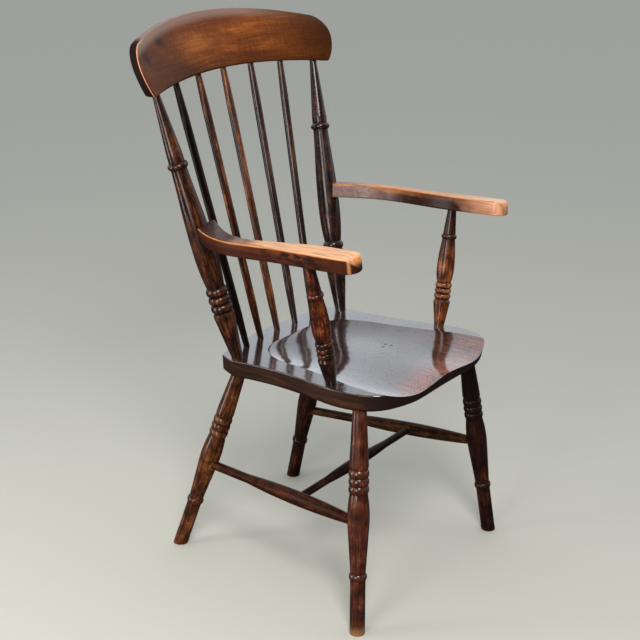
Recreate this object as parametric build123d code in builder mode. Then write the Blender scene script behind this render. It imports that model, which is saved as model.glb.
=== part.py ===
from build123d import *
from math import asin, cos, degrees, radians, sin, sqrt, tan
import os

# A high-backed stick Windsor armchair in turned and shaped wood, in millimetres.
# X runs to the sitter's left, Y to the back and Z up. The floor is Z = 0.
# Every joint is a round tenon in a blind socket, so nothing on the chair moves.

os.makedirs("parts", exist_ok=True)

# Fits: room round a tenon, and room left beyond its end
FIT = 0.1
END_ROOM = 0.6
# How far outside its socket a tenon keeps its own size
ENTRY = 4.5

# Seat
SEAT_HEIGHT = 443.0
SEAT_SLOPE = 2.3
SEAT_THICK = 34.0
SEAT_BACK_Y = 133.0
SEAT_FRONT_Y = -300.0
SEAT_BACK_CORNER = (168.0, 110.0)
SEAT_POST_CORNER = (186.0, 72.0)
SEAT_WAIST = (181.5, -15.0)
SEAT_FLARE = (191.0, -108.0)
SEAT_HIP = (199.5, -220.0)
SEAT_FRONT_CORNER = (182.0, -264.0)
SEAT_FRONT_BEND = (130.0, -295.0)
SEAT_CORNER_ROUND = 15.0
SEAT_UNDERCUT = 8.0
SEAT_TOP_ROUND = 2.5
SEAT_UNDER_ROUND = 8.0
SEAT_SOCKET = 23.0

# Saddle: the ridge round it, as distances to the back and half widths, and how deep it goes
SADDLE_EDGE = (
    (66.0, 55.0),
    (45.0, 106.0),
    (5.0, 131.0),
    (-80.0, 146.0),
    (-180.0, 166.0),
    (-250.0, 174.0),
    (-310.0, 170.0),
)
SADDLE_LIP = 0.4
SADDLE_DEPTH = 10.0
SADDLE_RUN = 90.0
THIGH_DEPTH = 16.5
THIGH_FROM = -180.0
THIGH_TO = -310.0

# Legs: the middles of the feet on the floor, and where the axes meet the underside of the seat
FRONT_FOOT = (240.5, -266.5)
FRONT_HEAD = (183.0, -226.0)
REAR_FOOT = (190.5, 218.0)
REAR_HEAD = (131.5, 92.0)
LEG_TENON_D = 26.0
LEG_FOOT_D = 28.4
LEG_COLLAR_D = 33.8
LEG_COLLAR_AT = 103.0
LEG_COLLAR_W = 13.0
LEG_SHIN_D = 39.0
LEG_SHIN_AT = 198.0
LEG_VASE_D = 40.8
LEG_VASE_AT = 228.0
LEG_NECK_D = 33.0
LEG_BEADS_AT = 268.0
LEG_BEAD_D = 37.8
LEG_BEAD_W = 15.0
LEG_SHOULDER_D = 35.8
LEG_SHOULDER_W = 7.0

# Stretchers: heights of the side stretchers on the leg axes, and where the cross stretcher meets them
STRETCHER_FRONT_Z = 209.0
STRETCHER_REAR_Z = 189.0
STRETCHER_PAST = 5.0
SIDE_END_D = 18.0
SIDE_SWELL_D = 28.0
SIDE_SWELL_W = 270.0
CROSS_Y = -93.0
CROSS_PAST = 4.0
CROSS_END_D = 15.0
CROSS_SWELL_D = 22.0
CROSS_SWELL_W = 200.0

# Back posts: feet on the seat, and heads on the underside of the crest rail
POST_FOOT = (167.5, 70.0)
POST_HEAD_X = 234.0
POST_TENON_D = 22.0
POST_CONE_D = 41.6
POST_CONE_AT = 92.0
POST_SHOULDER_W = 5.0
POST_GROOVE_D = 34.0
POST_BEAD_D = 42.0
POST_BEAD_W = 16.5
POST_BELLY_D = 44.0
POST_BELLY_AT = 212.0
POST_HIP_D = 36.8
POST_HIP_AT = 316.0
POST_WAIST_D = 30.0
POST_RING_D = 38.6
POST_RING_AT = 379.0
POST_RING_W = 13.0
POST_SHAFT_AT = 405.0
POST_HEAD_D = 14.0

# Back spindles
SPINDLE_D = 15.4
SPINDLE_END_D = 12.0
SPINDLE_TAPER = 70.0
SPINDLE_FOOT_Y = 107.0
SPINDLE_FOOT_R = 640.0
SPINDLE_FOOT_X = (107.0, 55.5, 0.0, -55.5, -107.0)
SPINDLE_HEAD_X = (155.0, 78.0, 0.0, -78.0, -155.0)
SPINDLE_NAMES = ("outer_left", "inner_left", "centre", "inner_right", "outer_right")

# Crest rail: a bowed and leaning rail, rolled back at the top; its outline is measured from the
# middle of its lower edge, which lies so far above the seat
CREST_BOTTOM_Y = 223.4
CREST_UP = 513.0
CREST_HEIGHT = 104.0
CREST_BOW_R = 710.0
CREST_LEAN = 0.244
CREST_ROLL_R = 200.0
CREST_THICK = 22.0
CREST_TOP_THICK = 16.0
CREST_CORNER = (259.0, -16.0)
CREST_END = (280.0, 30.0)
CREST_SHOULDER = (250.0, 75.0)
CREST_SOCKET = 27.0
CREST_CORNER_ROUND = 8.0
CREST_ROUND = 3.0
PEG_D = 6.0
PEG_UP = 12.0
PEG_PROUD = 0.5
PEG_FRONT_WALL = 2.0

# Arms: tilted boards, the plane of their tops given by its height above the seat at the chair's middle
ARM_UP = 289.5
ARM_RISE = 0.051
ARM_ROLL = 0.119
ARM_THICK = 28.0
ARM_OUTER = ((234.0, 92.0), (250.0, 48.0), (254.0, -12.0), (250.0, -88.0), (250.0, -160.0))
ARM_OUTER_TIP = (250.0, -248.0)
ARM_TIP = (236.0, -269.0)
ARM_INNER_TIP = (206.0, -249.0)
ARM_INNER = ((205.0, -180.0), (212.0, -110.0), (223.0, -45.0), (226.0, 2.0), (218.0, 38.0))
ARM_BACK_OUTER = (212.0, 128.0)
# The two arms differ: where the inner lip ends at the post, and how far the tip is set forward
ARM_LIP = {"left": (183.0, 100.0), "right": (170.0, 118.0)}
ARM_REACH = {"left": 8.0, "right": -19.0}
ARM_TOP_ROUND = 4.0
ARM_UNDER_ROUND = 3.0
ARM_NOSE = 22.0
ARM_NOSE_PAST = 2.0
ARM_NOSE_DROP = 22.0
ARM_SOCKET = 18.0
ARM_NECK = (231.0, 48.0)
DOWEL_D = 12.0
DOWEL_PAST = 5.0
DOWEL_IN_ARM = 24.0

# Arm supports: feet on the seat, and heads under the arms
SUPPORT_FOOT = (182.3, -163.0)
SUPPORT_HEAD = (233.5, -154.0)
SUPPORT_TENON_D = 20.0
SUPPORT_CONE_D = 33.4
SUPPORT_CONE_AT = 53.0
SUPPORT_SHOULDER_W = 6.0
SUPPORT_GROOVE_D = 27.0
SUPPORT_BEAD_D = 32.8
SUPPORT_BEAD_W = 11.0
SUPPORT_VASE_D = 34.6
SUPPORT_VASE_AT = 118.0
SUPPORT_WAIST_D = 25.0
SUPPORT_RING_D = 30.4
SUPPORT_RING_AT = 179.0
SUPPORT_RING_W = 10.0
SUPPORT_HEAD_D = 17.0

BEADS = 3

# Where the pieces meet
seat_up = (0, sin(radians(SEAT_SLOPE)), cos(radians(SEAT_SLOPE)))
seat_top = Plane(origin=(0, 0, SEAT_HEIGHT), x_dir=(1, 0, 0), z_dir=seat_up)
crest_bottom = SEAT_HEIGHT + CREST_UP
arm_height = SEAT_HEIGHT + ARM_UP
arm_top = Plane(origin=(0, 0, arm_height), x_dir=(1, 0, -ARM_ROLL), z_dir=(ARM_ROLL, ARM_RISE, 1))


def on_seat(x, y, below=0.0):
    """Point over (x, y) that lies on the seat's top, or so far below it, measured square to the board."""
    return Vector(x, y, SEAT_HEIGHT - y * tan(radians(SEAT_SLOPE)) - below / cos(radians(SEAT_SLOPE)))


def in_arm(x, y, below):
    """Point over (x, y) so far below the top of the sitter's left arm, measured square to it."""
    square = sqrt(1 + ARM_RISE**2 + ARM_ROLL**2)
    return Vector(x, y, arm_height - ARM_ROLL * x - ARM_RISE * y - below * square)


def crest_front(z):
    """Radius of the crest rail's front face: leaning at the bottom, and rolled back above."""
    up = z - crest_bottom
    return CREST_BOW_R + CREST_LEAN * up + up * abs(up) / 2 / CREST_ROLL_R


def crest_back(z):
    """Radius of the crest rail's back face, as the rail thins to the top."""
    thinning = (CREST_THICK - CREST_TOP_THICK) / CREST_HEIGHT
    return crest_front(z) + CREST_THICK - thinning * (z - crest_bottom)


def under_crest(x):
    """Point on the middle of the crest rail's underside, so far to the left of the chair's middle."""
    arch = -CREST_CORNER[1]
    arch_r = (CREST_CORNER[0] ** 2 + arch**2) / 2 / arch
    z = crest_bottom - arch_r + sqrt(arch_r**2 - x**2)
    middle_r = (crest_front(z) + crest_back(z)) / 2
    return Vector(x, CREST_BOTTOM_Y - CREST_BOW_R + sqrt(middle_r**2 - x**2), z)


def between(start, end, share):
    """Point on the way from start to end."""
    return start + (end - start) * share


def on_axis_at_height(foot, head, z):
    """Point of a leg's axis at height z."""
    return between(foot, head, (z - foot.Z) / (head.Z - foot.Z))


def turning_plane(foot, head):
    """Plane through a turned piece's axis: its X is the radius, and its Y runs from foot to head."""
    along = (head - foot).normalized()
    across = along.cross(Vector(0, 1, 0)).normalized()
    return Plane(origin=foot, x_dir=across, z_dir=across.cross(along))


def saddle_depth(y):
    """How deep the saddle is at its middle: quickly down from the ridge behind it, then level."""
    return SADDLE_LIP + SADDLE_DEPTH * sin(radians(90) * min(1, (SADDLE_EDGE[0][0] - y) / SADDLE_RUN))


def thigh_depth(y):
    """How deep the saddle is half way to its sides, where it is hollowed for the thighs in front."""
    forward = max(0, (y - THIGH_FROM) / (THIGH_TO - THIGH_FROM))
    return saddle_depth(y) + (THIGH_DEPTH - SADDLE_DEPTH) * forward


def ring(start, width, foot_d, crown_d):
    """Draw one rounded ring of a turning, an arc from foot to foot."""
    ThreePointArc((foot_d / 2, start), (crown_d / 2, start + width / 2), (foot_d / 2, start + width))


def beads(start, width, groove_d, bead_d):
    """Draw a row of rings that touch, with grooves between them."""
    for count in range(BEADS):
        ring(start + count * width, width, groove_d, bead_d)


def leg_outline(length, tenon):
    """Draw a leg's half outline, from a little below the floor to the end of its tenon in the seat."""
    collar_end = LEG_COLLAR_AT + LEG_COLLAR_W
    beads_end = LEG_BEADS_AT + BEADS * LEG_BEAD_W
    below = -LEG_FOOT_D / 2
    Polyline((0, below), (LEG_FOOT_D / 2, below), (LEG_FOOT_D / 2, LEG_COLLAR_AT))
    ring(LEG_COLLAR_AT, LEG_COLLAR_W, LEG_FOOT_D, LEG_COLLAR_D)
    Line((LEG_FOOT_D / 2, collar_end), (LEG_SHIN_D / 2, LEG_SHIN_AT))
    ThreePointArc(
        (LEG_SHIN_D / 2, LEG_SHIN_AT),
        (LEG_VASE_D / 2, LEG_VASE_AT),
        (LEG_NECK_D / 2, LEG_BEADS_AT),
    )
    beads(LEG_BEADS_AT, LEG_BEAD_W, LEG_NECK_D, LEG_BEAD_D)
    Polyline(
        (LEG_NECK_D / 2, beads_end),
        (LEG_SHOULDER_D / 2, beads_end + LEG_SHOULDER_W),
        (LEG_TENON_D / 2, length - ENTRY),
        (LEG_TENON_D / 2, length + tenon),
        (0, length + tenon),
        (0, below),
    )


def post_outline(length, tenon, head_tenon, grow=0.0):
    """Draw a back post's half outline, from the end of its tenon in the seat to that in the crest rail."""
    beads_at = POST_CONE_AT + POST_SHOULDER_W
    beads_end = beads_at + BEADS * POST_BEAD_W
    ring_end = POST_RING_AT + POST_RING_W
    belly = (POST_BELLY_D / 2 + grow, POST_BELLY_AT)
    hip = (POST_HIP_D / 2 + grow, POST_HIP_AT)
    waist = (POST_WAIST_D / 2 + grow, POST_RING_AT)
    Polyline(
        (0, -tenon),
        (POST_TENON_D / 2 + grow, -tenon),
        (POST_TENON_D / 2 + grow, ENTRY),
        (POST_CONE_D / 2 + grow, POST_CONE_AT),
        (POST_GROOVE_D / 2 + grow, beads_at),
    )
    beads(beads_at, POST_BEAD_W, POST_GROOVE_D + 2 * grow, POST_BEAD_D + 2 * grow)
    TangentArc(belly, (POST_GROOVE_D / 2 + grow, beads_end), tangent=(0, -1))
    swell = TangentArc(belly, hip, tangent=(0, 1))
    TangentArc(hip, waist, tangent=swell % 1)
    ring(POST_RING_AT, POST_RING_W, POST_WAIST_D + 2 * grow, POST_RING_D + 2 * grow)
    Polyline(
        (POST_WAIST_D / 2 + grow, ring_end),
        (POST_WAIST_D / 2 + grow, POST_SHAFT_AT),
        (POST_HEAD_D / 2 + grow, length - ENTRY),
        (POST_HEAD_D / 2 + grow, length + head_tenon),
        (0, length + head_tenon),
        (0, -tenon),
    )


def support_outline(length, tenon, head_tenon):
    """Draw an arm support's half outline, from the end of its tenon in the seat to that in the arm."""
    beads_at = SUPPORT_CONE_AT + SUPPORT_SHOULDER_W
    beads_end = beads_at + BEADS * SUPPORT_BEAD_W
    ring_end = SUPPORT_RING_AT + SUPPORT_RING_W
    vase = (SUPPORT_VASE_D / 2, SUPPORT_VASE_AT)
    Polyline(
        (0, -tenon),
        (SUPPORT_TENON_D / 2, -tenon),
        (SUPPORT_TENON_D / 2, ENTRY),
        (SUPPORT_CONE_D / 2, SUPPORT_CONE_AT),
        (SUPPORT_GROOVE_D / 2, beads_at),
    )
    beads(beads_at, SUPPORT_BEAD_W, SUPPORT_GROOVE_D, SUPPORT_BEAD_D)
    TangentArc(vase, (SUPPORT_GROOVE_D / 2, beads_end), tangent=(0, -1))
    TangentArc(vase, (SUPPORT_WAIST_D / 2, SUPPORT_RING_AT), tangent=(0, 1))
    ring(SUPPORT_RING_AT, SUPPORT_RING_W, SUPPORT_WAIST_D, SUPPORT_RING_D)
    Polyline(
        (SUPPORT_WAIST_D / 2, ring_end),
        (SUPPORT_HEAD_D / 2, length - ENTRY),
        (SUPPORT_HEAD_D / 2, length + head_tenon),
        (0, length + head_tenon),
        (0, -tenon),
    )


def stretcher_outline(length, past, end_d, swell_d, swell_w, swell_at):
    """Draw a stretcher's half outline, tenons at both ends and one long swelling along it."""
    swell_from, swell_to = swell_at - swell_w / 2, swell_at + swell_w / 2
    Polyline((0, -past), (end_d / 2, -past), (end_d / 2, swell_from))
    ThreePointArc((end_d / 2, swell_from), (swell_d / 2, swell_at), (end_d / 2, swell_to))
    Polyline((end_d / 2, swell_to), (end_d / 2, length + past), (0, length + past), (0, -past))


# Axes of the turned pieces on the sitter's left; those on the right mirror them
front_foot, front_head = Vector(*FRONT_FOOT, 0), on_seat(*FRONT_HEAD, SEAT_THICK)
rear_foot, rear_head = Vector(*REAR_FOOT, 0), on_seat(*REAR_HEAD, SEAT_THICK)
post_foot, post_head = on_seat(*POST_FOOT), under_crest(POST_HEAD_X)
support_foot, support_head = on_seat(*SUPPORT_FOOT), in_arm(*SUPPORT_HEAD, ARM_THICK)
side_rear = on_axis_at_height(rear_foot, rear_head, STRETCHER_REAR_Z)
side_front = on_axis_at_height(front_foot, front_head, STRETCHER_FRONT_Z)
cross_left = between(side_rear, side_front, (CROSS_Y - side_rear.Y) / (side_front.Y - side_rear.Y))
cross_right = Vector(-cross_left.X, cross_left.Y, cross_left.Z)
spindle_feet = [
    on_seat(x, SPINDLE_FOOT_Y - SPINDLE_FOOT_R + sqrt(SPINDLE_FOOT_R**2 - x**2)) for x in SPINDLE_FOOT_X
]
spindle_heads = [under_crest(x) for x in SPINDLE_HEAD_X]


def bore(mouth, inward, radius, depth):
    """Drill a blind socket from a point on the surface, started well outside it."""
    outside = 30.0
    inward = inward.normalized()
    across = inward.cross(Vector(1, 1, 1))
    with BuildSketch(Plane(origin=mouth - inward * outside, x_dir=across, z_dir=inward)) as mouth_circle:
        Circle(radius)
    extrude(mouth_circle.sketch, amount=outside + depth, mode=Mode.SUBTRACT)


def keep(piece, name):
    """Label a finished piece and write it to its own file."""
    piece.label = name
    export_step(piece, f"parts/{name}.step")


def mirrored(piece):
    """The same piece on the sitter's right."""
    with BuildPart() as right:
        mirror(piece, about=Plane.YZ)
    return right.part


def keep_pair(piece, name):
    """Keep a piece of the sitter's left side, and its mirror image on the right."""
    keep(piece, f"{name}_left")
    keep(mirrored(piece), f"{name}_right")


def seat_outline(undercut):
    """Draw the seat's outline from above, its front drawn back by the undercut."""
    TangentArc((0, SEAT_BACK_Y), SEAT_BACK_CORNER, tangent=(1, 0))
    Line(SEAT_BACK_CORNER, SEAT_POST_CORNER)
    Spline(
        SEAT_POST_CORNER,
        SEAT_WAIST,
        SEAT_FLARE,
        SEAT_HIP,
        (SEAT_FRONT_CORNER[0] - undercut / 2, SEAT_FRONT_CORNER[1] + undercut / 2),
        (SEAT_FRONT_BEND[0] - undercut / 2, SEAT_FRONT_BEND[1] + undercut),
        (0, SEAT_FRONT_Y + undercut),
        tangents=((-0.1, -1), (-1, 0)),
    )
    mirror(about=Plane.YZ)


# Seat: one board, saddled on top and bored for everything that stands in it
with BuildPart() as seat:
    for below, undercut in ((0, 0), (SEAT_THICK, SEAT_UNDERCUT)):
        with BuildSketch(seat_top.offset(-below)) as outline:
            with BuildLine():
                seat_outline(undercut)
            make_face()
            fillet(outline.vertices(), SEAT_CORNER_ROUND)
    loft()
    up = Axis(seat_top.origin, seat_top.z_dir)
    fillet(seat.faces().sort_by(up)[0].edges(), SEAT_UNDER_ROUND)
    fillet(seat.faces().sort_by(up)[-1].edges(), SEAT_TOP_ROUND)

    # The saddle: sections across the seat, from the ridge behind it to the two thigh hollows in front
    for y, half_width in SADDLE_EDGE:
        across = Plane(origin=seat_top.from_local_coords((0, y, 0)), x_dir=(1, 0, 0), z_dir=-seat_top.y_dir)
        with BuildSketch(across):
            with BuildLine():
                Spline(
                    (-half_width, 0),
                    (-half_width / 2, -thigh_depth(y)),
                    (0, -saddle_depth(y)),
                    (half_width / 2, -thigh_depth(y)),
                    (half_width, 0),
                )
                Polyline(
                    (half_width, 0), (half_width, SEAT_THICK), (-half_width, SEAT_THICK), (-half_width, 0)
                )
            make_face()
    loft(mode=Mode.SUBTRACT)

    for side in (1, -1):
        for mouth, far, radius in (
            (front_head, front_foot, LEG_TENON_D / 2),
            (rear_head, rear_foot, LEG_TENON_D / 2),
            (post_foot, post_head, POST_TENON_D / 2),
            (support_foot, support_head, SUPPORT_TENON_D / 2),
        ):
            inward = mouth - far
            bore(
                Vector(side * mouth.X, mouth.Y, mouth.Z),
                Vector(side * inward.X, inward.Y, inward.Z),
                radius + FIT,
                SEAT_SOCKET + END_ROOM,
            )
    for mouth, far in zip(spindle_feet, spindle_heads):
        bore(mouth, mouth - far, SPINDLE_END_D / 2 + FIT, SEAT_SOCKET + END_ROOM)
keep(seat.part, "seat")


# Legs, with a socket each for the side stretcher
for place, foot, head, joint, inward in (
    ("front", front_foot, front_head, side_front, side_front - side_rear),
    ("rear", rear_foot, rear_head, side_rear, side_rear - side_front),
):
    with BuildPart() as leg:
        with BuildSketch(turning_plane(foot, head)):
            with BuildLine():
                leg_outline((head - foot).length, SEAT_SOCKET)
            make_face()
        revolve(axis=Axis(foot, head - foot))
        split(bisect_by=Plane.XY, keep=Keep.TOP)
        bore(joint, inward, SIDE_END_D / 2 + FIT, STRETCHER_PAST + END_ROOM)
    keep_pair(leg.part, f"leg_{place}")

# Side stretchers, with a socket each for the cross stretcher
with BuildPart() as side_stretcher:
    with BuildSketch(turning_plane(side_rear, side_front)):
        with BuildLine():
            stretcher_outline(
                (side_front - side_rear).length,
                STRETCHER_PAST,
                SIDE_END_D,
                SIDE_SWELL_D,
                SIDE_SWELL_W,
                (cross_left - side_rear).length,
            )
        make_face()
    revolve(axis=Axis(side_rear, side_front - side_rear))
    bore(cross_left, cross_left - cross_right, CROSS_END_D / 2 + FIT, CROSS_PAST + END_ROOM)
keep_pair(side_stretcher.part, "stretcher")

with BuildPart() as cross_stretcher:
    span = (cross_left - cross_right).length
    with BuildSketch(turning_plane(cross_right, cross_left)):
        with BuildLine():
            stretcher_outline(span, CROSS_PAST, CROSS_END_D, CROSS_SWELL_D, CROSS_SWELL_W, span / 2)
        make_face()
    revolve(axis=Axis(cross_right, cross_left - cross_right))
keep(cross_stretcher.part, "stretcher_cross")

# Dowels between the posts and the arms, and pegs through the crest rail into the post tenons
arm_share = (in_arm(*POST_FOOT, ARM_THICK / 2).Z - post_foot.Z) / (post_head.Z - post_foot.Z)
dowel_mid = between(post_foot, post_head, arm_share)
dowel_mid = in_arm(dowel_mid.X, dowel_mid.Y, ARM_THICK / 2)
dowel_way = (in_arm(*ARM_NECK, ARM_THICK / 2) - dowel_mid).normalized()
dowel_reach = POST_BELLY_D / 2 + DOWEL_IN_ARM
peg_mid = post_head + (post_head - post_foot).normalized() * PEG_UP
peg_turn = asin(peg_mid.X / (CREST_BOW_R + CREST_THICK / 2))
peg_way = Vector(-sin(peg_turn), -cos(peg_turn), 0)
peg_front = CREST_THICK / 2 - PEG_FRONT_WALL
peg_back = CREST_THICK / 2 + PEG_PROUD

with BuildPart() as arm_dowel:
    with BuildSketch(Plane(origin=dowel_mid - dowel_way * DOWEL_PAST, z_dir=dowel_way)):
        Circle(DOWEL_D / 2)
    extrude(amount=DOWEL_PAST + dowel_reach)
keep_pair(arm_dowel.part, "arm_dowel")

with BuildPart() as crest_peg:
    with BuildSketch(Plane(origin=peg_mid - peg_way * peg_back, z_dir=peg_way)):
        Circle(PEG_D / 2)
    extrude(amount=peg_back + peg_front)
keep_pair(crest_peg.part, "crest_peg")

# Back posts
with BuildPart() as back_post:
    with BuildSketch(turning_plane(post_foot, post_head)):
        with BuildLine():
            post_outline((post_head - post_foot).length, SEAT_SOCKET, CREST_SOCKET)
        make_face()
    revolve(axis=Axis(post_foot, post_head - post_foot))
    bore(dowel_mid, -dowel_way, DOWEL_D / 2 + FIT, DOWEL_PAST + END_ROOM)
    bore(peg_mid, peg_way, PEG_D / 2 + FIT, peg_front)
keep_pair(back_post.part, "back_post")

# Back spindles: plain rods, tapered to both ends
for name, foot, head in zip(SPINDLE_NAMES, spindle_feet, spindle_heads):
    length = (head - foot).length
    with BuildPart() as spindle:
        with BuildSketch(turning_plane(foot, head)):
            with BuildLine():
                Polyline(
                    (0, -SEAT_SOCKET),
                    (SPINDLE_END_D / 2, -SEAT_SOCKET),
                    (SPINDLE_END_D / 2, ENTRY),
                    (SPINDLE_D / 2, SPINDLE_TAPER),
                    (SPINDLE_D / 2, length - SPINDLE_TAPER),
                    (SPINDLE_END_D / 2, length - ENTRY),
                    (SPINDLE_END_D / 2, length + CREST_SOCKET),
                    (0, length + CREST_SOCKET),
                    close=True,
                )
            make_face()
        revolve(axis=Axis(foot, head - foot))
    keep(spindle.part, f"spindle_{name}")

# Crest rail: the section swept round the bow, then trimmed to the outline seen from the front
with BuildPart() as crest_rail:
    bow_axis = Axis((0, CREST_BOTTOM_Y - CREST_BOW_R, 0), (0, 0, 1))
    bow_turn = asin((CREST_END[0] + CREST_THICK) / CREST_BOW_R)
    bow_start = Plane(
        origin=bow_axis.position,
        x_dir=(sin(bow_turn), cos(bow_turn), 0),
        z_dir=(cos(bow_turn), -sin(bow_turn), 0),
    )
    low = crest_bottom + CREST_CORNER[1] - CREST_THICK
    high = crest_bottom + CREST_HEIGHT + CREST_THICK
    with BuildSketch(bow_start):
        with BuildLine():
            levels = (low, (low + high) / 2, high)
            ThreePointArc(*[(crest_front(z), z) for z in levels])
            ThreePointArc(*[(crest_back(z), z) for z in levels])
            Line((crest_front(high), high), (crest_back(high), high))
            Line((crest_front(low), low), (crest_back(low), low))
        make_face()
    revolve(axis=bow_axis, revolution_arc=degrees(2 * bow_turn))
    with BuildSketch(Plane(origin=(0, 0, crest_bottom), x_dir=(1, 0, 0), z_dir=(0, -1, 0))) as outline:
        with BuildLine():
            TangentArc((0, 0), CREST_CORNER, tangent=(1, 0))
            crown = TangentArc((0, CREST_HEIGHT), CREST_SHOULDER, tangent=(1, 0))
            shoulder = TangentArc(CREST_SHOULDER, CREST_END, tangent=crown % 1)
            TangentArc(CREST_END, CREST_CORNER, tangent=shoulder % 1)
            mirror(about=Plane.YZ)
        make_face()
        fillet(outline.vertices().sort_by(Axis.Y)[:2], CREST_CORNER_ROUND)
    extrude(amount=-CREST_BOW_R, mode=Mode.INTERSECT)
    front, back = crest_rail.faces().sort_by(SortBy.AREA)[-2:].sort_by(Axis.Y)
    fillet(back.edges(), CREST_ROUND)
    front = crest_rail.faces().sort_by(SortBy.AREA)[-2:].sort_by(Axis.Y)[0]
    fillet(front.edges(), CREST_ROUND)
    for mouth, far in zip(spindle_heads, spindle_feet):
        bore(mouth, mouth - far, SPINDLE_END_D / 2 + FIT, CREST_SOCKET + END_ROOM)
    for side in (1, -1):
        way = post_head - post_foot
        bore(
            Vector(side * post_head.X, post_head.Y, post_head.Z),
            Vector(side * way.X, way.Y, way.Z),
            POST_HEAD_D / 2 + FIT,
            CREST_SOCKET + END_ROOM,
        )
        bore(
            Vector(side * peg_mid.X, peg_mid.Y, peg_mid.Z),
            Vector(side * peg_way.X, peg_way.Y, 0),
            PEG_D / 2 + FIT,
            peg_front + END_ROOM,
        )
keep(crest_rail.part, "crest_rail")

# Arms: shaped boards, drawn on the sitter's left, with the back end hollowed round the post
for side in ("left", "right"):
    outer_tip, tip, inner_tip = [
        (x, y - ARM_REACH[side]) for x, y in (ARM_OUTER_TIP, ARM_TIP, ARM_INNER_TIP)
    ]
    with BuildPart() as arm:
        with BuildSketch(arm_top):
            with BuildLine():
                outer = Spline(ARM_BACK_OUTER, *ARM_OUTER, outer_tip)
                corner = TangentArc(outer_tip, tip, tangent=outer % 1)
                front = TangentArc(tip, inner_tip, tangent=corner % 1)
                Spline(inner_tip, *ARM_INNER, ARM_LIP[side], tangents=(front % 1, (-0.55, 0.83)))
                Line(ARM_LIP[side], ARM_BACK_OUTER)
            make_face()
        extrude(amount=-ARM_THICK)
        up = Axis(arm_top.origin, arm_top.z_dir)
        for face, round_r in ((0, ARM_UNDER_ROUND), (-1, ARM_TOP_ROUND)):
            rim = arm.faces().sort_by(up)[face].edges().sort_by(Axis.Y)
            fillet(rim[:-1], round_r)
        with BuildSketch(Plane(origin=arm_top.origin, x_dir=arm_top.y_dir, z_dir=arm_top.x_dir)):
            with BuildLine():
                nose_top = (tip[1] + ARM_NOSE, 0)
                nose_front = (tip[1] - ARM_NOSE_PAST, -ARM_NOSE_DROP)
                TangentArc(nose_top, nose_front, tangent=(-1, 0))
                Polyline(
                    nose_front,
                    (nose_front[0] - ARM_THICK, -ARM_NOSE_DROP),
                    (nose_front[0] - ARM_THICK, ARM_THICK),
                    (nose_top[0], ARM_THICK),
                    nose_top,
                )
            make_face()
        extrude(amount=2 * ARM_OUTER_TIP[0], mode=Mode.SUBTRACT)
        with BuildSketch(turning_plane(post_foot, post_head)):
            with BuildLine():
                post_outline((post_head - post_foot).length, SEAT_SOCKET, CREST_SOCKET, FIT)
            make_face()
        revolve(axis=Axis(post_foot, post_head - post_foot), mode=Mode.SUBTRACT)
        bore(dowel_mid + dowel_way * POST_BELLY_D / 2, dowel_way, DOWEL_D / 2 + FIT, DOWEL_IN_ARM + END_ROOM)
        bore(support_head, support_head - support_foot, SUPPORT_HEAD_D / 2 + FIT, ARM_SOCKET + END_ROOM)
    keep(arm.part if side == "left" else mirrored(arm.part), f"arm_{side}")

# Arm supports
with BuildPart() as arm_support:
    with BuildSketch(turning_plane(support_foot, support_head)):
        with BuildLine():
            support_outline((support_head - support_foot).length, SEAT_SOCKET, ARM_SOCKET)
        make_face()
    revolve(axis=Axis(support_foot, support_head - support_foot))
keep_pair(arm_support.part, "arm_support")
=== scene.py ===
import math

import bpy
import numpy as np
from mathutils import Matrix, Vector


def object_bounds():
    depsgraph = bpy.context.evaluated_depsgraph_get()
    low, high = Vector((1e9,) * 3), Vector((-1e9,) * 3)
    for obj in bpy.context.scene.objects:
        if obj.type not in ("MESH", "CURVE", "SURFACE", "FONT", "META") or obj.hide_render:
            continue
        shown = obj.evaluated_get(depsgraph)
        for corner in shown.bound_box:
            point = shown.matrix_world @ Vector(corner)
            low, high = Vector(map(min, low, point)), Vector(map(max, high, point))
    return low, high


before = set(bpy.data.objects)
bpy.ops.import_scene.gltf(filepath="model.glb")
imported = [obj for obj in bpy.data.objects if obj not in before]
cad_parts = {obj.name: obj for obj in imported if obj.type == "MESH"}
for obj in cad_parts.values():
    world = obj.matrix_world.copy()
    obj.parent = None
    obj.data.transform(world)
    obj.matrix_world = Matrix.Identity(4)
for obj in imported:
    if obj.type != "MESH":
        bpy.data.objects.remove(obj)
cad_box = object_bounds()

# Seat
# One thick elm board, its grain from front to back, sawn to a waisted outline and dished with adze and
# scraper; all that stands on it or under it is socketed in it. Stained dark and waxed for generations:
# it mirrors the light from behind, and its front is worn down to pinkish wood.
MM = 0.001
ELM_GRAIN_W, ELM_GRAIN_L = 2.5 * MM, 150 * MM
STAIN_CLOUD = 45 * MM
EDDY, EDDY_SPREAD = (0, -302 * MM, 0), (2.6, 1, 1000)
EDDY_FROM, EDDY_TO = 78 * MM, 40 * MM
RING_SPACING = 3.6 * MM
WAVER, WAVER_SHIFT = 22 * MM, 12 * MM
WORN_CORNER = (132 * MM, -262 * MM, 440 * MM)
CORNER_FROM, CORNER_TO = 75 * MM, 30 * MM
PITS = ((52, -117), (65, -127), (66, -113))
PIT_R = 2.2 * MM
PORE_W, PORE_L = 2.2 * MM, 6 * MM
EDGE_STREAK = (30 * MM, 70 * MM, 7 * MM)
RIPPLE_DEPTH, GRAIN_DEPTH = 1 * MM, 0.5 * MM

# Sockets that share a name with others go by number: Map Range's limits, and Mix's inputs and output
FROM, UPTO, LOW, HIGH = 1, 2, 3, 4
FIRST, SECOND, UNDER, OVER, BLEND = 2, 3, 6, 7, 2


def linear(code):
    """An sRGB hex colour as linear RGBA: the sRGB curve undone channel by channel."""
    srgb = np.array([int(code[i : i + 2], 16) for i in (1, 3, 5)]) / 255
    return (*np.where(srgb <= 0.04045, srgb / 12.92, ((srgb + 0.055) / 1.055) ** 2.4), 1.0)


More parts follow.
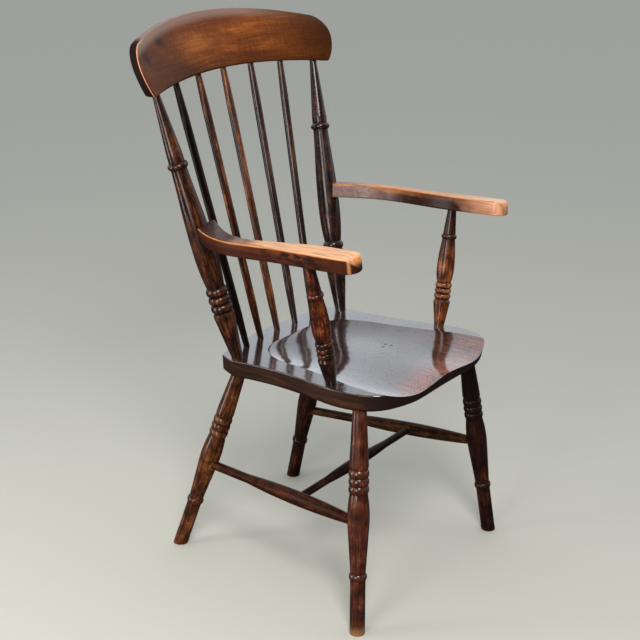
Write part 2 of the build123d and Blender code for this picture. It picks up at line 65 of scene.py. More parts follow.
def per(*sizes):
    """A pattern's scale along each axis, from its real sizes: one over each of them."""
    return tuple(1 / size for size in sizes)


def add(tree, kind, inputs, out=0, stops=(), **settings):
    """Adds one shader node with its fields, socket values or links and ramp stops; returns one output."""
    node = tree.nodes.new("ShaderNode" + kind)
    for field, value in settings.items():
        setattr(node, field, value)
    for socket, value in inputs.items():
        if isinstance(value, bpy.types.NodeSocket):
            tree.links.new(value, node.inputs[socket])
        else:
            node.inputs[socket].default_value = value
    if stops:
        elements = node.color_ramp.elements
        elements.remove(elements[1])
        elements[0].position, elements[0].color = stops[0][0], linear(stops[0][1])
        for place, code in stops[1:]:
            elements.new(place).color = linear(code)
    return node.outputs[out]


def waxed_wood(name, coat, coat_roughness):
    """A wood material under a film of wax: the material, its tree, Object place and normal."""
    made = bpy.data.materials.new(name)
    made.use_nodes = True
    tree = made.node_tree
    shader = tree.nodes["Principled BSDF"]
    shader.inputs["IOR"].default_value = 1.5
    shader.inputs["Specular IOR Level"].default_value = 0.05
    shader.inputs["Coat Weight"].default_value = coat
    shader.inputs["Coat Roughness"].default_value = coat_roughness
    return made, tree, add(tree, "TexCoord", {}, "Object"), add(tree, "NewGeometry", {}, "Normal")


def dress(node, made, links):
    """Links what varies to the shader of a material, and swaps a CAD node's own material for it."""
    shader = made.node_tree.nodes["Principled BSDF"]
    for socket, value in links.items():
        made.node_tree.links.new(value, shader.inputs[socket])
    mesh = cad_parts[node].data
    mesh.materials.clear()
    mesh.materials.append(made)


elm, tree, place, normal = waxed_wood("dark_waxed_elm", coat=1.0, coat_roughness=0.06)

# Long grain lines, drawn wider than real ones so that they show, and slow clouds of stain
grain_place = add(tree, "Mapping", {0: place, "Scale": per(ELM_GRAIN_W, ELM_GRAIN_L, ELM_GRAIN_W)})
grain = add(tree, "TexNoise", {"Vector": grain_place, "Scale": 1.0, "Detail": 4.0})
cloud = add(tree, "TexNoise", {"Vector": place, "Scale": 1 / STAIN_CLOUD, "Detail": 4.0})
stain = add(tree, "Mix", {0: 0.5, FIRST: grain, SECOND: cloud})
stain_tones = ((0.4, "#180c08"), (0.5, "#2b1710"), (0.6, "#3b2319"))
stained = add(tree, "ValToRGB", {0: stain}, stops=stain_tones)

# Growth rings come out at the front as flattened rings round one spot, at any height, wavered by a noise
eddy = add(tree, "Mapping", {0: place, "Location": EDDY, "Scale": EDDY_SPREAD}, vector_type="TEXTURE")
eddy_r = add(tree, "VectorMath", {0: eddy}, "Value", operation="LENGTH")
waver = add(tree, "TexNoise", {"Vector": place, "Scale": 1 / WAVER, "Detail": 3.0})
wavy_r = add(tree, "Math", {0: waver, 1: WAVER_SHIFT, 2: eddy_r}, operation="MULTIPLY_ADD")
fold = add(tree, "Math", {0: wavy_r, 1: RING_SPACING / 2}, operation="PINGPONG")
ring = add(tree, "MapRange", {0: fold, FROM: 0.0, UPTO: RING_SPACING / 3, LOW: 0.2, HIGH: 0.6})
eddy_zone = add(tree, "MapRange", {0: eddy_r, FROM: EDDY_FROM, UPTO: EDDY_TO})
ringed = add(tree, "MapRange", {0: eddy_zone, LOW: 1.0, HIGH: 0.55})
figure = add(tree, "Mix", {0: ringed, FIRST: ring, SECOND: grain})
worn_tones = ((0.32, "#4b2a20"), (0.47, "#71463a"), (0.62, "#936657"))
worn = add(tree, "ValToRGB", {0: figure}, stops=worn_tones)

# Wear in patches: round that spot, and less at the left front corner
corner_r = add(tree, "VectorMath", {0: place, 1: WORN_CORNER}, "Value", operation="DISTANCE")
corner_zone = add(tree, "MapRange", {0: corner_r, FROM: CORNER_FROM, UPTO: CORNER_TO, LOW: 0.0, HIGH: 0.55})
zone = add(tree, "Math", {0: eddy_zone, 1: corner_zone}, operation="MAXIMUM")
patchy = add(tree, "MapRange", {0: waver, FROM: 0.3, UPTO: 0.5})
wear = add(tree, "Math", {0: zone, 1: patchy}, operation="MULTIPLY")
top_colour = add(tree, "Mix", {0: wear, UNDER: stained, OVER: worn}, BLEND, data_type="RGBA")

# Small pits in the dish and open pores all over, drawn coarser than real ones: dark, and without wax
plan = add(tree, "VectorMath", {0: place, 1: (1, 1, 0)}, operation="MULTIPLY")
pore_place = add(tree, "Mapping", {0: place, "Scale": per(PORE_W, PORE_L, PORE_W)})
pore = add(tree, "TexNoise", {"Vector": pore_place, "Scale": 1.0, "Detail": 1.0})
open_wood = add(tree, "MapRange", {0: pore, FROM: 0.63, UPTO: 0.72, LOW: 0.0, HIGH: 0.7})
for pit_x, pit_y in PITS:
    pit_place = (pit_x * MM, pit_y * MM, 0)
    gap = add(tree, "VectorMath", {0: plan, 1: pit_place}, "Value", operation="DISTANCE")
    pit = add(tree, "MapRange", {0: gap, FROM: PIT_R, UPTO: 2 * PIT_R, LOW: 0.95, HIGH: 0.0})
    open_wood = add(tree, "Math", {0: open_wood, 1: pit}, operation="MAXIMUM")
dark_pores = {0: open_wood, UNDER: top_colour, OVER: linear("#0b0605")}
top_colour = add(tree, "Mix", dark_pores, BLEND, data_type="RGBA")

# The edge of the board: streaky side grain, and end grain in front and behind that drank the stain
upward = add(tree, "SeparateXYZ", {0: normal}, "Z")
ahead = add(tree, "SeparateXYZ", {0: normal}, "Y")
lengthways = add(tree, "Math", {0: ahead}, operation="ABSOLUTE")
edge_place = add(tree, "Mapping", {0: place, "Scale": per(*EDGE_STREAK)})
edge_streak = add(tree, "TexNoise", {"Vector": edge_place, "Scale": 1.0, "Detail": 4.0})
side_tones = ((0.35, "#190c06"), (0.5, "#241208"), (0.7, "#3a1f0f"))
side_colour = add(tree, "ValToRGB", {0: edge_streak}, stops=side_tones)
end_grain = add(tree, "MapRange", {0: lengthways, FROM: 0.3, UPTO: 0.75})
edge_layers = {0: end_grain, UNDER: side_colour, OVER: linear("#1e110b")}
edge_colour = add(tree, "Mix", edge_layers, BLEND, data_type="RGBA")
on_top = add(tree, "MapRange", {0: upward, FROM: 0.3, UPTO: 0.7}, interpolation_type="SMOOTHSTEP")
colour = add(tree, "Mix", {0: on_top, UNDER: edge_colour, OVER: top_colour}, BLEND, data_type="RGBA")

# Wax lies on the top, thinner where it is worn, and hardly on the edge; tool marks and grain ripple it
bare = add(tree, "Math", {0: wear, 1: 0.45, 2: open_wood}, operation="MULTIPLY_ADD", use_clamp=True)
covered = add(tree, "MapRange", {0: bare, LOW: 1.0, HIGH: 0.0})
waxed = add(tree, "Math", {0: on_top, 1: covered}, operation="MULTIPLY")
ripple = add(tree, "Bump", {"Height": waver, "Strength": 0.25, "Distance": RIPPLE_DEPTH})
relief = add(tree, "Bump", {"Height": grain, "Strength": 0.1, "Distance": GRAIN_DEPTH, "Normal": ripple})
dress(
    "seat",
    elm,
    {
        "Base Color": colour,
        "Roughness": add(tree, "MapRange", {0: on_top, LOW: 0.6, HIGH: 0.14}),
        "Specular IOR Level": add(tree, "MapRange", {0: waxed, LOW: 0.1, HIGH: 0.85}),
        "Coat Weight": add(tree, "MapRange", {0: waxed, LOW: 0.1, HIGH: 1.0}),
        "Normal": relief,
        "Coat Normal": relief,
    },
)

# Legs
# Four beech legs, turned with three beads, a vase and a low collar, and driven into blind sockets under
# the seat. Waxed over a red-brown stain, with the grooves painted black as dirt and as shade; the left
# ones are darker, partly with painted shade from under the seat, and the right front foot is scuffed pale.
STREAK_W, STREAK_L = 5 * MM, 75 * MM
FIBRE_W, FIBRE_L = 1.5 * MM, 7 * MM
BLOTCH = 22 * MM
CREVICE, CROWN = 13 * MM, 6 * MM
SCUFF_Z, SCUFF_RAGGED = 16 * MM, 24 * MM
FIGURE_DEPTH = 0.6 * MM
TONES_AT = (0.38, 0.48, 0.56, 0.68)
RED_BROWN = ("#1a0905", "#35160b", "#4e2312", "#7c4c36")
NUT_BROWN = ("#150a05", "#371a0a", "#5a3015", "#86562b")
# Partly painted shade: the left legs are darker because they stand in the shadow of the seat
SHADED_BLACK_BROWN = ("#100705", "#1f0e07", "#33180b", "#5c3018")


def points_of(node):
    """The points of a CAD node's mesh, one to a row."""
    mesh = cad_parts[node].data
    flat = np.empty(3 * len(mesh.vertices), np.float32)
    mesh.vertices.foreach_get("co", flat)
    return flat.reshape(-1, 3).astype(float)


def long_axis(node):
    """Middle and upward direction of a long piece: its points' mean and their first principal axis."""
    points = points_of(node)
    middle = points.mean(axis=0)
    direction = np.linalg.svd(points - middle, full_matrices=False)[2][0]
    return Vector(middle), Vector(direction * (1 if direction[2] >= 0 else -1))


def turned_beech(node, tones, wax=0.35, mottle=0.5, dark_z=(), scuffed=False):
    """Stained beech whose fibres run along a turned piece.

    Long streaks, short fibres, which are drawn coarser than real ones, and slow blotches of stain are
    three noises along the piece's own axis, and a ramp of the tones colours their blend. Crowns are
    rubbed to the lightest tone where the wood behind the surface is thin. Grooves are painted dark, as
    dirt and as shade, and matt where little of the space before the surface is open. A pair of heights in
    dark_z shades the piece to its darkest tone from the first to the second, and scuffed bares the wood at
    the foot.
    """
    made, tree, place, _ = waxed_wood("stained_beech_" + node, coat=wax, coat_roughness=0.2)
    height = add(tree, "SeparateXYZ", {0: place}, "Z")
    middle, direction = long_axis(node)
    turn = direction.to_track_quat("Z", "Y").to_euler()
    along = add(tree, "Mapping", {0: place, "Location": middle, "Rotation": turn}, vector_type="TEXTURE")
    streak_place = add(tree, "Mapping", {0: along, "Scale": per(STREAK_W, STREAK_W, STREAK_L)})
    fibre_place = add(tree, "Mapping", {0: along, "Scale": per(FIBRE_W, FIBRE_W, FIBRE_L)})
    streak = add(tree, "TexNoise", {"Vector": streak_place, "Scale": 1.0, "Detail": 3.0})
    fibre = add(tree, "TexNoise", {"Vector": fibre_place, "Scale": 1.0, "Detail": 2.0})
    blotch = add(tree, "TexNoise", {"Vector": along, "Scale": 1 / BLOTCH, "Detail": 4.0})
    figure = add(tree, "Mix", {0: mottle, FIRST: streak, SECOND: blotch})
    figure = add(tree, "Mix", {0: 0.25, FIRST: figure, SECOND: fibre})
    colour = add(tree, "ValToRGB", {0: figure}, stops=tuple(zip(TONES_AT, tones)))
    thin = add(tree, "AmbientOcclusion", {"Distance": CROWN}, "AO", samples=6, inside=True, only_local=True)
    rubbed = add(tree, "MapRange", {0: thin, FROM: 0.7, UPTO: 0.3, LOW: 0.0, HIGH: 0.7})
    colour = add(tree, "Mix", {0: rubbed, UNDER: colour, OVER: linear(tones[3])}, BLEND, data_type="RGBA")
    # Grooves are painted near-black and left without wax where little space before the surface is open:
    # dirt and painted shade
    open_space = add(tree, "AmbientOcclusion", {"Distance": CREVICE}, "AO", samples=6, only_local=True)
    groove_dirt_and_shade = add(tree, "MapRange", {0: open_space, FROM: 0.8, UPTO: 0.99, LOW: 0.97, HIGH: 0.0})
    colour = add(tree, "Mix", {0: groove_dirt_and_shade, UNDER: colour, OVER: linear("#0e0604")}, BLEND, data_type="RGBA")
    if dark_z:
        shade = add(tree, "MapRange", {0: height, FROM: dark_z[0], UPTO: dark_z[1], LOW: 0.0, HIGH: 0.8})
        shaded = {0: shade, UNDER: colour, OVER: linear(tones[0])}
        colour = add(tree, "Mix", shaded, BLEND, data_type="RGBA")
    if scuffed:
        ragged = add(tree, "Math", {0: streak, 1: SCUFF_RAGGED, 2: height}, operation="MULTIPLY_ADD")
        scuff = add(tree, "MapRange", {0: ragged, FROM: SCUFF_Z, UPTO: 2 * SCUFF_Z, LOW: 0.7, HIGH: 0.0})
        bared = {0: scuff, UNDER: colour, OVER: linear("#8a6440")}
        colour = add(tree, "Mix", bared, BLEND, data_type="RGBA")
    links = {
        "Base Color": colour,
        "Roughness": add(tree, "MapRange", {0: blotch, FROM: 0.3, UPTO: 0.7, LOW: 0.25, HIGH: 0.45}),
        "Normal": add(tree, "Bump", {"Height": figure, "Strength": 0.07, "Distance": FIGURE_DEPTH}),
    }
    if wax:
        links["Coat Weight"] = add(tree, "MapRange", {0: groove_dirt_and_shade, LOW: wax, HIGH: 0.0})
    dress(node, made, links)


turned_beech("leg_front_right", RED_BROWN, wax=0.8, scuffed=True)
turned_beech("leg_rear_right", NUT_BROWN, wax=0.6)
# Painted shade under the seat: the left front leg darkens towards its top
turned_beech("leg_front_left", SHADED_BLACK_BROWN, dark_z=(50 * MM, 350 * MM))
turned_beech("leg_rear_left", SHADED_BLACK_BROWN)

# Stretchers
# Two side stretchers between the legs and one across them, turned to swell in the middle and socketed.
# The same stained beech with its wax gone; the cross one, under the seat, has the darkest tones.
turned_beech("stretcher_right", ("#160803", "#250f05", "#34170a", "#57301b"), wax=0.0)
turned_beech("stretcher_cross", ("#0d0502", "#1c0c05", "#2a150a", "#47291a"), wax=0.0)
turned_beech("stretcher_left", ("#100703", "#241308", "#3a2210", "#5a3b20"), wax=0.0)

# Back posts
# Two stout turned posts that lean back from the seat to the crest rail and carry the arms.
# Almost black with stain and wax, with warmer streaks on the bellies.
turned_beech("back_post_left", ("#0c0605", "#190d0a", "#331a10", "#6a3e22"), wax=0.7, mottle=0.4)
turned_beech("back_post_right", ("#0e0503", "#221006", "#43200d", "#74441d"), wax=0.5, mottle=0.4)

# Back spindles
# Five plain turned rods between the seat and the crest rail, tapered at both ends and socketed.
# Dark stain in long streaks; the middle one and the one at its right are rubbed to orange.
turned_beech("spindle_outer_right", ("#060302", "#0c0604", "#160b07", "#351f14"), wax=0.3, mottle=0.2)
for spindle in ("spindle_inner_left", "spindle_outer_left"):
    turned_beech(spindle, ("#0d0706", "#1b0f0b", "#301a11", "#5c3822"), wax=0.8, mottle=0.2)
turned_beech("spindle_inner_right", ("#0d0503", "#241007", "#48220f", "#8d552c"), wax=0.5, mottle=0.2)
turned_beech("spindle_centre", ("#150a06", "#331a0d", "#5c3118", "#8d552c"), wax=0.7, mottle=0.2)

# Crest rail
# One bowed ash board, sawn to shape, leaning back, eased over at the top and pegged on the posts.
# Warm orange-brown with fine scratches across the grain, darker to both ends and the foot, with a painted
# grey sheen along the top; the end grain is almost black, and the right end has a worn arris.
CREST_STREAK_L, CREST_STREAK_W, CREST_DEEP = 90 * MM, 4 * MM, 30 * MM
SCRATCH_L, SCRATCH_W = 16 * MM, 3 * MM
CREST_CLOUD, CLOUD_SHIFT = (150 * MM, 110 * MM, 55 * MM), 90 * MM
BEND, BEND_SHIFT = 110 * MM, 16 * MM
DARK_LEFT, DARK_RIGHT = (150 * MM, 300 * MM), (60 * MM, -120 * MM)
KNOTS = ((-182, 232, 1026, 12), (-246, 200, 1002, 9))
TOP_ARC_R = 1090 * MM
FOOT_DROP, FOOT_BAND = 75 * MM, 35 * MM
GREY_DROP, GREY_FULL_DROP = 20 * MM, 4 * MM
GREY_UPTO, GREY_GONE = 90 * MM, 210 * MM
END_FROM, END_TO = 58.5 * MM, 38.5 * MM
RAIL_WAX = 0.08


def band(tree, value, rise, fall, most=1.0):
    """A mask that grows over the span rise, and over the span fall drops back from most to nothing."""
    smooth = {"interpolation_type": "SMOOTHSTEP"}
    risen = add(tree, "MapRange", {0: value, FROM: rise[0], UPTO: rise[1]}, **smooth)
    fallen = add(tree, "MapRange", {0: value, FROM: fall[0], UPTO: fall[1], LOW: most, HIGH: 0.0}, **smooth)
    return add(tree, "Math", {0: risen, 1: fallen}, operation="MULTIPLY")


# The rail is the widest and the highest piece, so the whole chair's box gives its half length and its top
rail_half, rail_top = cad_box[1][0], cad_box[1][2]
rail, tree, place, normal = waxed_wood("stained_rail_ash", coat=RAIL_WAX, coat_roughness=0.25)
x = add(tree, "SeparateXYZ", {0: place}, "X")
z = add(tree, "SeparateXYZ", {0: place}, "Z")

# Streaks along a slowly bent grain, clouds of stain, and scratches drawn wider than real ones
bend = add(tree, "TexNoise", {"Vector": place, "Scale": 1 / BEND, "Detail": 1.0}, "Color")
bent = add(tree, "VectorMath", {0: bend, 1: (0, 0, BEND_SHIFT), 2: place}, operation="MULTIPLY_ADD")
streak_place = add(tree, "Mapping", {0: bent, "Scale": per(CREST_STREAK_L, CREST_DEEP, CREST_STREAK_W)})
streak = add(tree, "TexNoise", {"Vector": streak_place, "Scale": 1.0, "Detail": 5.0, "Roughness": 0.65})
cloud_place = add(tree, "Mapping", {0: place, "Scale": per(*CREST_CLOUD)})
cloud = add(tree, "TexNoise", {"Vector": cloud_place, "Scale": 1.0, "Detail": 4.0})
scratch_place = add(tree, "Mapping", {0: place, "Scale": per(SCRATCH_W, CREST_DEEP, SCRATCH_L)})
scratch = add(tree, "TexNoise", {"Vector": scratch_place, "Scale": 1.0, "Detail": 4.0, "Roughness": 0.65})
figure = add(tree, "Mix", {0: 0.55, FIRST: streak, SECOND: cloud})
figure = add(tree, "Mix", {0: 0.24, FIRST: figure, SECOND: scratch})
rail_tones = ((0.36, "#431d06"), (0.45, "#5d2c0a"), (0.53, "#723a11"), (0.62, "#945420"))
colour = add(tree, "ValToRGB", {0: figure}, stops=rail_tones)

# Both ends darken, with a ragged start, and two knots near the right end are bent along with the grain
ragged = add(tree, "Math", {0: cloud, 1: CLOUD_SHIFT, 2: x}, operation="MULTIPLY_ADD")
to_left = add(tree, "MapRange", {0: ragged, FROM: DARK_LEFT[0], UPTO: DARK_LEFT[1], LOW: 0.0, HIGH: 0.85})
to_right = add(tree, "MapRange", {0: ragged, FROM: DARK_RIGHT[0], UPTO: DARK_RIGHT[1], LOW: 0.0, HIGH: 0.6})
to_end = add(tree, "Math", {0: to_left, 1: to_right}, operation="MAXIMUM")
colour = add(tree, "Mix", {0: to_end, UNDER: colour, OVER: linear("#2c1505")}, BLEND, data_type="RGBA")
for knot_x, knot_y, knot_z, knot_r in KNOTS:
    # The bend lifts a place by half its shift on average
    knot_place = (knot_x * MM, knot_y * MM, knot_z * MM + BEND_SHIFT / 2)
    core, skirt = 0.3 * knot_r * MM, 1.7 * knot_r * MM
    gap = add(tree, "VectorMath", {0: bent, 1: knot_place}, "Value", operation="DISTANCE")
    knot = add(tree, "MapRange", {0: gap, FROM: core, UPTO: skirt, LOW: 0.85, HIGH: 0.0})
    colour = add(tree, "Mix", {0: knot, UNDER: colour, OVER: linear("#1c0e08")}, BLEND, data_type="RGBA")

# The top follows a wide arc: below it a band gets a painted grey sheen, and the foot of the rail is dark
square = add(tree, "Math", {0: x, 1: x}, operation="MULTIPLY")
level = add(tree, "Math", {0: square, 1: 1 / (2 * TOP_ARC_R), 2: z}, operation="MULTIPLY_ADD")
foot_z = rail_top - FOOT_DROP
foot = add(tree, "MapRange", {0: level, FROM: foot_z, UPTO: foot_z - FOOT_BAND, LOW: 0.0, HIGH: 0.85})
colour = add(tree, "Mix", {0: foot, UNDER: colour, OVER: linear("#220d03")}, BLEND, data_type="RGBA")
# Painted sheen: a band just below the top is mixed towards grey, fading off to the left
grey_span = {FROM: rail_top - GREY_DROP, UPTO: rail_top - GREY_FULL_DROP, LOW: 0.0, HIGH: 0.8}
near_top = add(tree, "MapRange", {0: level, **grey_span}, interpolation_type="SMOOTHSTEP")
off_left = add(tree, "MapRange", {0: x, FROM: GREY_UPTO, UPTO: GREY_GONE, LOW: 1.0, HIGH: 0.1})
grey_sheen = add(tree, "Math", {0: near_top, 1: off_left}, operation="MULTIPLY")
colour = add(tree, "Mix", {0: grey_sheen, UNDER: colour, OVER: linear("#7d665b")}, BLEND, data_type="RGBA")

# End grain on both ends, behind the front face, and the worn arris where the right end begins to turn
facing_x = add(tree, "SeparateXYZ", {0: normal}, "X")
facing_y = add(tree, "SeparateXYZ", {0: normal}, "Y")
end_on = add(tree, "Math", {0: facing_x}, operation="ABSOLUTE")
sideways = add(tree, "Math", {0: x}, operation="ABSOLUTE")
at_end = add(tree, "MapRange", {0: sideways, FROM: rail_half - END_FROM, UPTO: rail_half - END_TO})
at_right_end = add(tree, "MapRange", {0: x, FROM: END_FROM - rail_half, UPTO: END_TO - rail_half})
edge_on = add(tree, "MapRange", {0: facing_y, FROM: -0.42, UPTO: -0.3}, interpolation_type="SMOOTHSTEP")
end_grain = add(tree, "MapRange", {0: end_on, FROM: 0.1, UPTO: 0.24}, interpolation_type="SMOOTHSTEP")
end_grain = add(tree, "Math", {0: end_grain, 1: edge_on}, operation="MULTIPLY")
end_grain = add(tree, "Math", {0: end_grain, 1: at_end}, operation="MULTIPLY")
colour = add(tree, "Mix", {0: end_grain, UNDER: colour, OVER: linear("#1a100b")}, BLEND, data_type="RGBA")
turning = band(tree, facing_y, (-0.8, -0.7), (-0.5, -0.38))
arris = add(tree, "Math", {0: turning, 1: at_right_end}, operation="MULTIPLY")
colour = add(tree, "Mix", {0: arris, UNDER: colour, OVER: linear("#c98862")}, BLEND, data_type="RGBA")
dress(
    "crest_rail",
    rail,
    {
        "Base Color": colour,
        "Roughness": add(tree, "MapRange", {0: end_grain, LOW: 0.35, HIGH: 0.75}),
        "Coat Weight": add(tree, "MapRange", {0: end_grain, LOW: RAIL_WAX, HIGH: 0.0}),
        "Normal": add(tree, "Bump", {"Height": figure, "Strength": 0.12, "Distance": FIGURE_DEPTH}),
    },
)

# Arms
# Two ash boards sawn to an easy curve, hollowed round the posts, dowelled to them and rounded at the tip.
# Hands have rubbed the stain off the tops and tips down to blond wood, and left it dark elsewhere.
ARM_BACK_Y, ARM_FRONT_Y = 130 * MM, -290 * MM
TOP_LEANS_OUT, TOP_LEANS_BACK = 0.119, 0.051
ARM_STREAK_L, ARM_STREAK_W = 110 * MM, 3.5 * MM
ARM_WAVER, RAGGED_L, RAGGED_Z = 24 * MM, 70 * MM, 10 * MM
FLANK_BLUR = 5 * MM
CHIP_L, CHIP_W = 26 * MM, 8 * MM
CHIPS_AT, CHIPS_FULL, CHIPS_END = 0.6, 0.1, 0.24
TIP_FROM, TIP_TO = 40 * MM, 25 * MM


def arm_ash(side, tones, upper_flank, chips, end_shade):
    """Stained ash rubbed by hands: ramps along the arm colour its top, its upper and its lower flank.

    The place along the arm is wavered by a noise, so that the zones have ragged ends. How far a point's
    normal leans from the board's own sets the top apart, with a rubbed rim, and its height below the
    board's top face sets the upper flank apart from the lower; the upper flank's tones are painted lighter,
    as light where the top edge rounds over, and the left arm's rear flank holds a painted grey sheen. Dark
    chips of old finish cling to the flanks, streaks along the arm darken all of it, the end of the tip is
    shaded, and its corner is worn.
    """
    made, tree, place, normal = waxed_wood("rubbed_ash_arm_" + side, coat=0.25, coat_roughness=0.2)
    outwards = 1 if side == "left" else -1
    board_up = Vector((outwards * TOP_LEANS_OUT, TOP_LEANS_BACK, 1)).normalized()
    points = points_of("arm_" + side)
    board_top, tip_y = (points @ np.array(board_up)).max(), points[:, 1].min()
    y = add(tree, "SeparateXYZ", {0: place}, "Y")
    facing_y = add(tree, "SeparateXYZ", {0: normal}, "Y")
    lean = add(tree, "VectorMath", {0: normal, 1: board_up}, "Value", operation="DOT_PRODUCT")
    level = add(tree, "VectorMath", {0: place, 1: board_up}, "Value", operation="DOT_PRODUCT")
    waver = add(tree, "TexNoise", {"Vector": place, "Scale": 1 / ARM_WAVER, "Detail": 4.0})
    ragged_y = add(tree, "Math", {0: waver, 1: RAGGED_L, 2: y}, operation="MULTIPLY_ADD")
    back_y, front_y = ARM_BACK_Y + RAGGED_L / 2, ARM_FRONT_Y + RAGGED_L / 2
    along = add(tree, "MapRange", {0: ragged_y, FROM: back_y, UPTO: front_y})
    top, upper, lower = [add(tree, "ValToRGB", {0: along}, stops=stops) for stops in tones]

    # The flanks and the chips on them
    ragged_level = add(tree, "Math", {0: waver, 1: RAGGED_Z, 2: level}, operation="MULTIPLY_ADD")
    flank_level = board_top - upper_flank
    # The band below the top takes the lighter upper tones: painted light where the top edge rounds over,
    # over the stain
    to_upper = add(tree, "MapRange", {0: ragged_level, FROM: flank_level, UPTO: flank_level + FLANK_BLUR})
    flank = add(tree, "Mix", {0: to_upper, UNDER: lower, OVER: upper}, BLEND, data_type="RGBA")
    if chips:
        chip_place = add(tree, "Mapping", {0: place, "Scale": per(CHIP_W, CHIP_L, CHIP_W)})
        chip_noise = {"Vector": chip_place, "Scale": 1.0, "Detail": 4.0, "Roughness": 0.6}
        clinging = add(tree, "TexNoise", chip_noise)
        past_chips = add(tree, "Math", {0: along, 1: CHIPS_AT}, operation="SUBTRACT")
        off_chips = add(tree, "Math", {0: past_chips}, operation="ABSOLUTE")
        chip_span = {FROM: CHIPS_FULL, UPTO: CHIPS_END, LOW: chips, HIGH: 0.0}
        chipped = add(tree, "MapRange", {0: off_chips, **chip_span})
        chip = add(tree, "MapRange", {0: clinging, FROM: 0.47, UPTO: 0.53, LOW: 0.0, HIGH: chipped})
        flank = add(tree, "Mix", {0: chip, UNDER: flank, OVER: linear("#100907")}, BLEND, data_type="RGBA")

    # The top, its rim and the streaks
    on_top = add(tree, "MapRange", {0: lean, FROM: 0.5, UPTO: 0.85}, interpolation_type="SMOOTHSTEP")
    colour = add(tree, "Mix", {0: on_top, UNDER: flank, OVER: top}, BLEND, data_type="RGBA")
    rim = band(tree, lean, (0.3, 0.55), (0.75, 0.9), 0.85)
    colour = add(tree, "Mix", {0: rim, UNDER: colour, OVER: linear("#bd773f")}, BLEND, data_type="RGBA")
    streak_place = add(tree, "Mapping", {0: place, "Scale": per(ARM_STREAK_W, ARM_STREAK_L, ARM_STREAK_W)})
    streak_noise = {"Vector": streak_place, "Scale": 1.0, "Detail": 4.0, "Roughness": 0.6}
    streak = add(tree, "TexNoise", streak_noise)
    shade = add(tree, "MapRange", {0: streak, FROM: 0.56, UPTO: 0.36, LOW: 0.0, HIGH: 0.45})
    colour = add(tree, "Mix", {0: shade, UNDER: colour, OVER: linear("#43210f")}, BLEND, data_type="RGBA")

    # The end of the tip, and its upright corner below the top
    end_on = add(tree, "MapRange", {0: facing_y, FROM: -0.7, UPTO: -0.9, LOW: 0.0, HIGH: end_shade})
    colour = add(tree, "Mix", {0: end_on, UNDER: colour, OVER: linear("#22110a")}, BLEND, data_type="RGBA")
    corner = band(tree, facing_y, (-0.42, -0.56), (-0.6, -0.74), 0.5)
    at_tip = add(tree, "MapRange", {0: y, FROM: tip_y + TIP_FROM, UPTO: tip_y + TIP_TO})
    corner = add(tree, "Math", {0: corner, 1: at_tip}, operation="MULTIPLY")
    below_top = add(tree, "MapRange", {0: lean, FROM: 0.05, UPTO: 0.35, LOW: 1.0, HIGH: 0.0})
    corner = add(tree, "Math", {0: corner, 1: below_top}, operation="MULTIPLY")
    colour = add(tree, "Mix", {0: corner, UNDER: colour, OVER: linear("#c98a58")}, BLEND, data_type="RGBA")
    dress(
        "arm_" + side,
        made,
        {
            "Base Color": colour,
            "Roughness": add(tree, "MapRange", {0: waver, FROM: 0.3, UPTO: 0.7, LOW: 0.28, HIGH: 0.45}),
            "Normal": add(tree, "Bump", {"Height": streak, "Strength": 0.12, "Distance": FIGURE_DEPTH}),
        },
    )


arm_ash(
    "right",
    (
        ((0.0, "#2a1c17"), (0.28, "#3a251b"), (0.45, "#c8976e"), (0.8, "#cc9b74")),
        ((0.15, "#3e1b0b"), (0.6, "#5a2912"), (0.85, "#331509"), (1.0, "#6d3c1c")),
        ((0.0, "#1b0a05"), (0.6, "#3d180b"), (0.95, "#2f140a")),
    ),
    upper_flank=10 * MM,
    chips=0.9,
    end_shade=0.6,
)
# The left arm's greyish first flank tones at the rear are a painted sheen of reflected light
arm_ash(
    "left",
    (
        ((0.0, "#3c2620"), (0.3, "#cc8a52"), (0.66, "#bd8450"), (1.0, "#e2b492")),
        ((0.2, "#80675f"), (0.32, "#9a6033"), (0.55, "#52291a"), (0.7, "#482414"), (0.95, "#cf9776")),
        ((0.2, "#7b645e"), (0.45, "#210e07"), (0.72, "#210d07"), (0.95, "#c58b6c")),
    ),
    upper_flank=8 * MM,
    chips=0.0,
    end_shade=0.4,
)

# Arm supports
# Two short turned supports that lean outwards from sockets in the seat to the undersides of the arms.
# Redder beech than the posts and more rubbed; the right one is dark at its foot, the left one at its neck.
turned_beech(
    "arm_support_right",
    ("#0b0403", "#240c05", "#4e200b", "#93552b"),
    wax=0.6,
    mottle=0.6,
    dark_z=(520 * MM, 460 * MM),
)
turned_beech(
    "arm_support_left",
    ("#1e0b06", "#4b220c", "#703c1c", "#a86d40"),
    wax=0.6,
    mottle=0.6,
    dark_z=(585 * MM, 630 * MM),
)

# Dowels and pegs
# The dowels hide between posts and arms, and the pegs show as small discs on the back of the crest rail.
# Plain cleft beech, stained with the rest.
for pin in ("arm_dowel_left", "arm_dowel_right", "crest_peg_left", "crest_peg_right"):
    turned_beech(pin, NUT_BROWN)

# Floor, light and camera
# A plain pale floor, pale light all over the back and much less from the front. Two tall soft lamps
# stand to the left of the camera, and a third hangs above it. The wax mirrors the floor as a dark one.
FLOOR_HALF = 30.0
BACK_WAY = (0.66, 0.5, 0.56)
FRONT_AT, BACK_AT = -0.3, 0.5
BACK_GLOW, FRONT_GLOW, SEEN_GLOW = 1.25, 0.1, 1.0
# A lamp's name, place, the point that it faces, its width, height and power in watts
LAMPS = (
    ("tall_lamp_front", (-2.10, -0.35, 1.05), (0, 0, 1.05), 0.7, 1.2, 26.0),
    ("tall_lamp_side", (-1.45, 1.20, 0.75), (0, 0, 0.75), 0.4, 1.4, 16.0),
    ("soft_lamp_above", (-1.60, -1.50, 2.60), (0, 0, 0.5), 0.8, 1.0, 86.0),
)
EYE = (-1911.6 * MM, -1429.0 * MM, 1368.4 * MM)
LOOK_DOWN, HEADING = math.radians(20.352), math.radians(-53.245)
FOCAL_PX, IMAGE_PX, SENSOR_MM = 1294.43, 640, 36.0

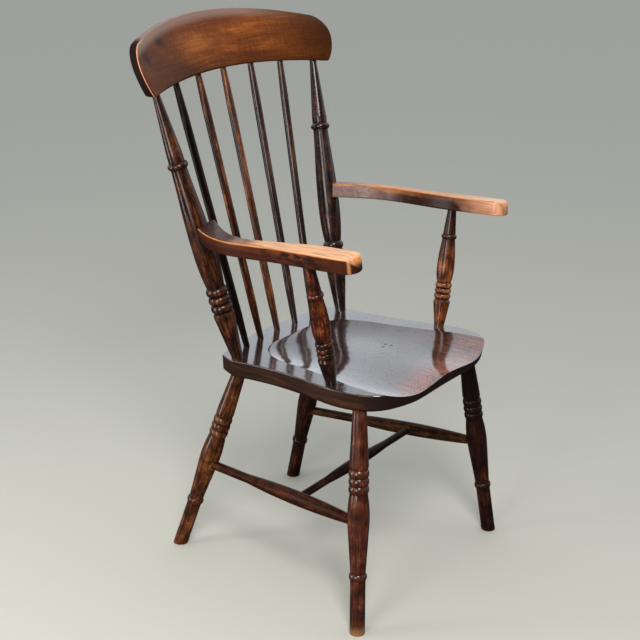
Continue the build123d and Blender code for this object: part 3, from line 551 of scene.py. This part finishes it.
floor_mesh = bpy.data.meshes.new("floor")
corners = FLOOR_HALF * np.array([(-1, -1, 0), (1, -1, 0), (1, 1, 0), (-1, 1, 0)])
floor_mesh.from_pydata(corners.tolist(), [], [(0, 1, 2, 3)])
floor = bpy.data.objects.new("floor", floor_mesh)
bpy.context.scene.collection.objects.link(floor)
floor_paint = bpy.data.materials.new("pale_matt_floor")
floor_paint.use_nodes = True
tree = floor_paint.node_tree
floor_shader = tree.nodes["Principled BSDF"]
mirrored = add(tree, "LightPath", {}, "Is Glossy Ray")
floor_layers = {0: mirrored, UNDER: linear("#a8a599"), OVER: linear("#2c2a26")}
floor_colour = add(tree, "Mix", floor_layers, BLEND, data_type="RGBA")
tree.links.new(floor_colour, floor_shader.inputs["Base Color"])
floor_shader.inputs["Roughness"].default_value = 0.8
floor_mesh.materials.append(floor_paint)

sky = bpy.data.worlds.new("pale_behind_dim_in_front")
sky.use_nodes = True
bpy.context.scene.world = sky
tree = sky.node_tree
background = tree.nodes["Background"]
background.inputs["Color"].default_value = linear("#e6edf5")
way = add(tree, "TexCoord", {}, "Generated")
behind = add(tree, "VectorMath", {0: way, 1: BACK_WAY}, "Value", operation="DOT_PRODUCT")
glow_span = {FROM: FRONT_AT, UPTO: BACK_AT, LOW: FRONT_GLOW, HIGH: BACK_GLOW}
glow = add(tree, "MapRange", {0: behind, **glow_span}, interpolation_type="SMOOTHSTEP")
seen = add(tree, "LightPath", {}, "Is Camera Ray")
strength = add(tree, "Mix", {0: seen, FIRST: glow, SECOND: SEEN_GLOW})
tree.links.new(strength, background.inputs["Strength"])

for name, stand, aim, width, tall, power in LAMPS:
    lamp_data = bpy.data.lights.new(name, "AREA")
    lamp_data.shape = "RECTANGLE"
    lamp_data.size, lamp_data.size_y, lamp_data.energy = width, tall, power
    lamp = bpy.data.objects.new(name, lamp_data)
    lamp.location = stand
    lamp.rotation_euler = (Vector(aim) - lamp.location).to_track_quat("-Z", "Y").to_euler()
    bpy.context.scene.collection.objects.link(lamp)

camera_data = bpy.data.cameras.new("camera")
camera_data.sensor_width = SENSOR_MM
camera_data.lens = FOCAL_PX / IMAGE_PX * SENSOR_MM
camera = bpy.data.objects.new("camera", camera_data)
camera.location = EYE
camera.rotation_euler = (math.pi / 2 - LOOK_DOWN, 0, HEADING)
bpy.context.scene.collection.objects.link(camera)
bpy.context.scene.camera = camera
bpy.context.scene.view_settings.view_transform = "Standard"
